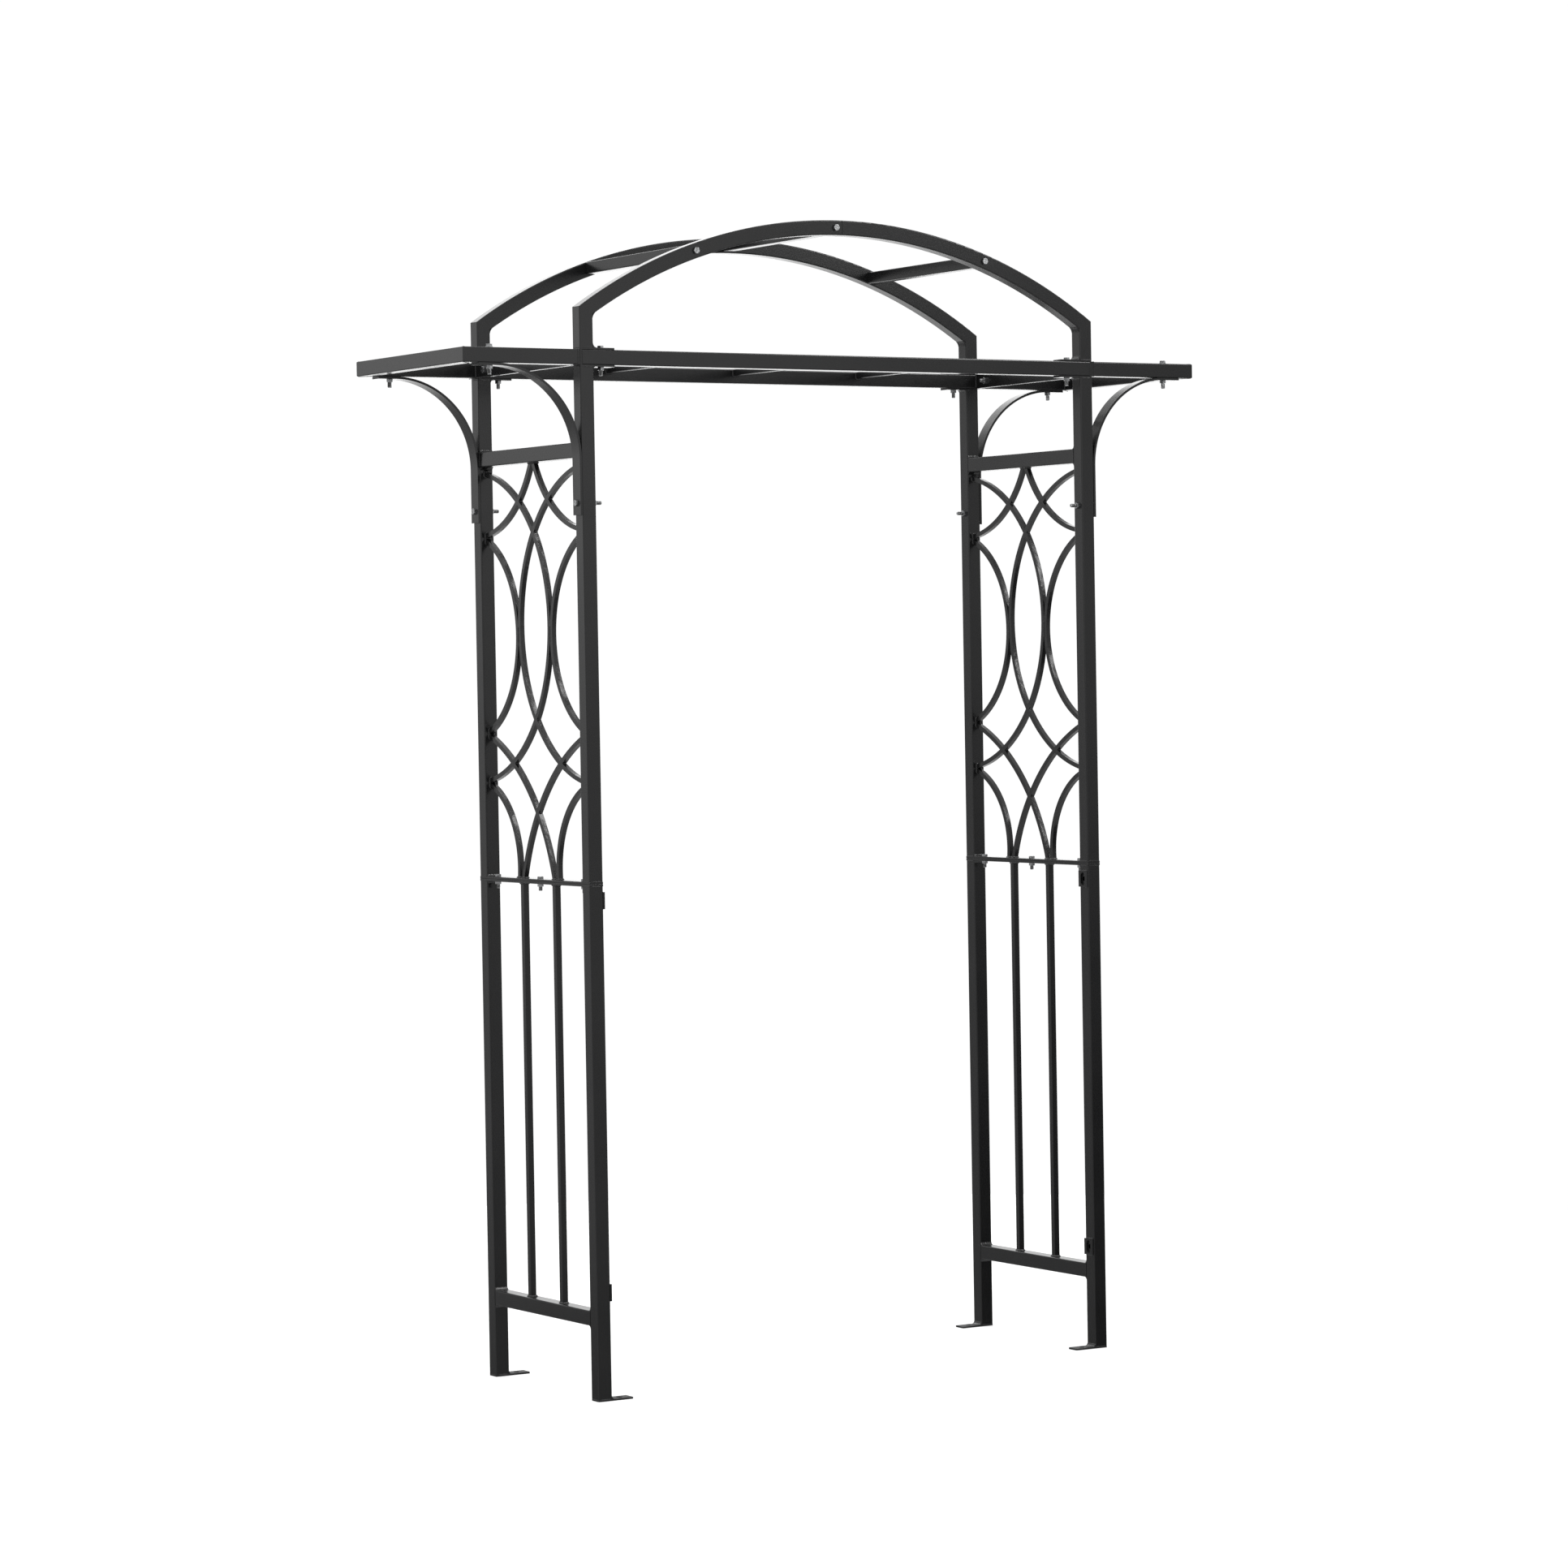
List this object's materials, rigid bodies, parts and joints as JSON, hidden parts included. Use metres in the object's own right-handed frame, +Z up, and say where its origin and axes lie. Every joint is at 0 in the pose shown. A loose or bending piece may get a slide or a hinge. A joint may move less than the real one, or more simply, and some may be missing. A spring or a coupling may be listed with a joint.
{
  "type": "trellis arch",
  "caption": "Free-standing garden arch of square steel tube with latticed sides, a slatted flat top with overhanging ends on curved brackets, and a low bow above it.",
  "frame": {"origin": "on the ground, at the middle of the footprint of the four posts", "axes": "+Z up, +X across the walkway, +Y through it, with the gate pads on the -Y front"},
  "size_m": [1.445, 0.388, 1.9415],
  "materials": {
    "black_powder_coat": "satin",
    "zinc_fasteners": "bright zinc",
    "bare_steel": "matte"
  },
  "bodies": {
    "root": {"foot_plates": "black_powder_coat", "lower_post_left_front": "black_powder_coat", "lower_post_left_rear": "black_powder_coat", "lower_post_right_front": "black_powder_coat", "lower_post_right_rear": "black_powder_coat", "lower_rail_left": "black_powder_coat", "lower_rail_right": "black_powder_coat", "pickets_left": "black_powder_coat", "pickets_right": "black_powder_coat", "lower_splice_bar_left": "black_powder_coat", "lower_splice_bar_right": "black_powder_coat", "gate_hinge_pads": "black_powder_coat", "upper_splice_bar_left": "black_powder_coat", "upper_splice_bar_right": "black_powder_coat", "upper_post_left_front": "black_powder_coat", "upper_post_left_rear": "black_powder_coat", "upper_post_right_front": "black_powder_coat", "upper_post_right_rear": "black_powder_coat", "upper_rail_left": "black_powder_coat", "upper_rail_right": "black_powder_coat", "long_arcs_left": "black_powder_coat", "long_arcs_right": "black_powder_coat", "top_arcs_left": "black_powder_coat", "top_arcs_right": "black_powder_coat", "side_arcs_left": "black_powder_coat", "side_arcs_right": "black_powder_coat", "cross_arcs_left": "black_powder_coat", "cross_arcs_right": "black_powder_coat", "foot_arcs_left": "black_powder_coat", "foot_arcs_right": "black_powder_coat", "post_top_plates": "black_powder_coat", "front_beam": "black_powder_coat", "rear_beam": "black_powder_coat", "slats": "black_powder_coat", "ladder_end_bars": "black_powder_coat", "overhang_joint_bars": "black_powder_coat", "overhang_stubs": "black_powder_coat", "overhang_end_beam_left": "black_powder_coat", "overhang_end_beam_right": "black_powder_coat", "arch_foot_plates": "black_powder_coat", "arch_legs": "black_powder_coat", "arch_front_left": "black_powder_coat", "arch_front_right": "black_powder_coat", "arch_rear_left": "black_powder_coat", "arch_rear_right": "black_powder_coat", "arch_sleeves": "bare_steel", "crossbars": "black_powder_coat", "crossbar_plugs": "bare_steel", "bracket_left_front": "black_powder_coat", "bracket_left_rear": "black_powder_coat", "bracket_right_front": "black_powder_coat", "bracket_right_rear": "black_powder_coat", "short_bolts": "zinc_fasteners", "arch_bolts": "zinc_fasteners", "bracket_beam_bolts": "zinc_fasteners", "bracket_post_bolts": "zinc_fasteners", "crossbar_bolts": "zinc_fasteners", "hex_nuts": "zinc_fasteners", "washers": "zinc_fasteners"}
  },
  "joints": []
}
